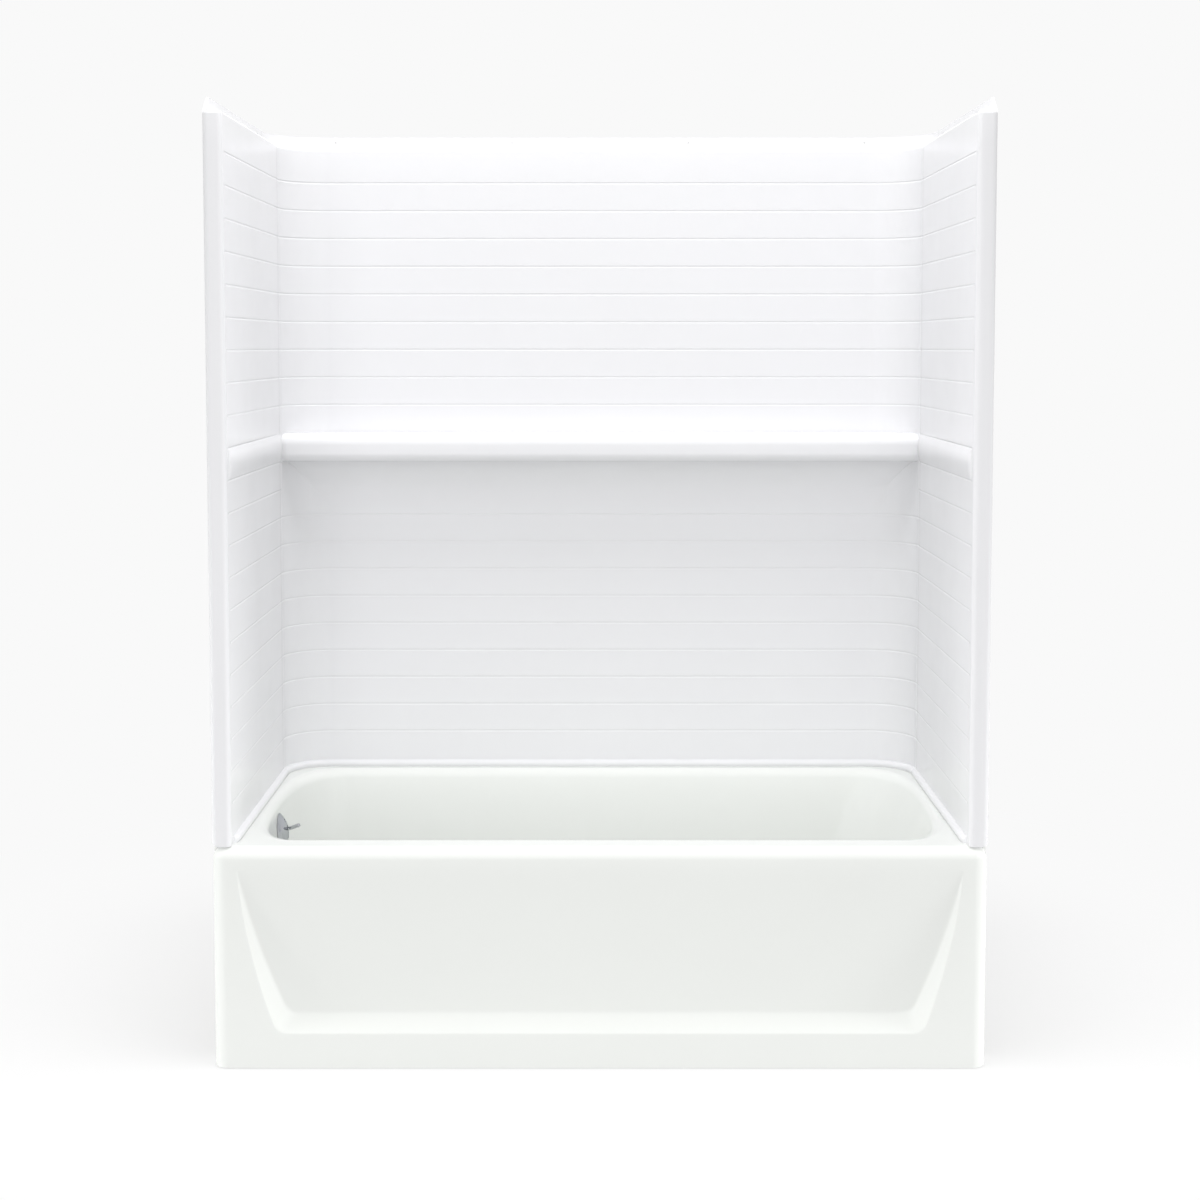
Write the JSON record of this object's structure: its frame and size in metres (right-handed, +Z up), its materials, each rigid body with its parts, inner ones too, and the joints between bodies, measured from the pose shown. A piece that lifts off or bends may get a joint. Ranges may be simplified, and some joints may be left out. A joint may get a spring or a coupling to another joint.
{
  "type": "alcove bath with shower wall surround",
  "caption": "Alcove bath with a recessed apron, trip-lever waste and overflow, and a grooved wall surround with a moulded shelf.",
  "frame": {"origin": "floor level, middle of the footprint", "axes": "+X along the bath from the drain end to the backrest, +Y from the apron to the back wall, +Z up"},
  "size_m": [1.524, 0.813, 1.9],
  "materials": {
    "bath_moulding": "gloss white moulding",
    "wall_moulding": "gloss white moulding",
    "chrome": "polished chrome plate",
    "brass": "rough cast and drawn brass",
    "steel": "zinc-plated steel",
    "rubber": "black rubber",
    "board": "moisture-proof board",
    "timber": "planed softwood",
    "foot_moulding": "black moulding"
  },
  "bodies": {
    "bath": {"tub_shell": "bath_moulding", "apron_rail": "timber", "base_board": "board", "base_feet": "foot_moulding", "foot_screws": "steel", "overflow_plate": "chrome", "plate_screws": "chrome", "lever_bracket": "steel", "lever_pin": "steel", "overflow_gasket": "rubber", "overflow_elbow": "brass", "overflow_tube": "brass", "waste_tee": "brass", "waste_tube": "brass", "slip_nuts": "chrome", "slip_washers": "rubber", "drain_shoe": "brass", "shoe_gasket": "rubber", "strainer_body": "chrome", "strainer_grid": "chrome", "strainer_screw": "chrome"},
    "lever": {"trip_lever": "chrome", "linkage_pin": "steel"},
    "linkage": {"upper_linkage": "brass", "lock_nuts": "brass", "lower_linkage": "brass", "plunger": "brass"},
    "wall_set": {"back_wall": "wall_moulding", "end_wall_left": "wall_moulding", "end_wall_right": "wall_moulding"}
  },
  "joints": [
    {"name": "trip_lever_swing", "type": "hinge", "parent": "bath", "child": "lever", "pos_m": [-0.69687, 0, 0.37148], "axis": [0, 1, 0], "range_deg": [0, 36]},
    {"name": "plunger_lift", "type": "slide", "parent": "bath", "child": "linkage", "axis": [0, 0, 1], "range_m": [0, 0.0229]},
    {"name": "wall_set_lift", "type": "slide", "parent": "bath", "child": "wall_set", "axis": [0, 0, 1], "range_m": [0, 0.6]}
  ],
  "couplings": [
    {"joint": "plunger_lift", "follows": "trip_lever_swing", "m_per_rad": 0.036394}
  ]
}
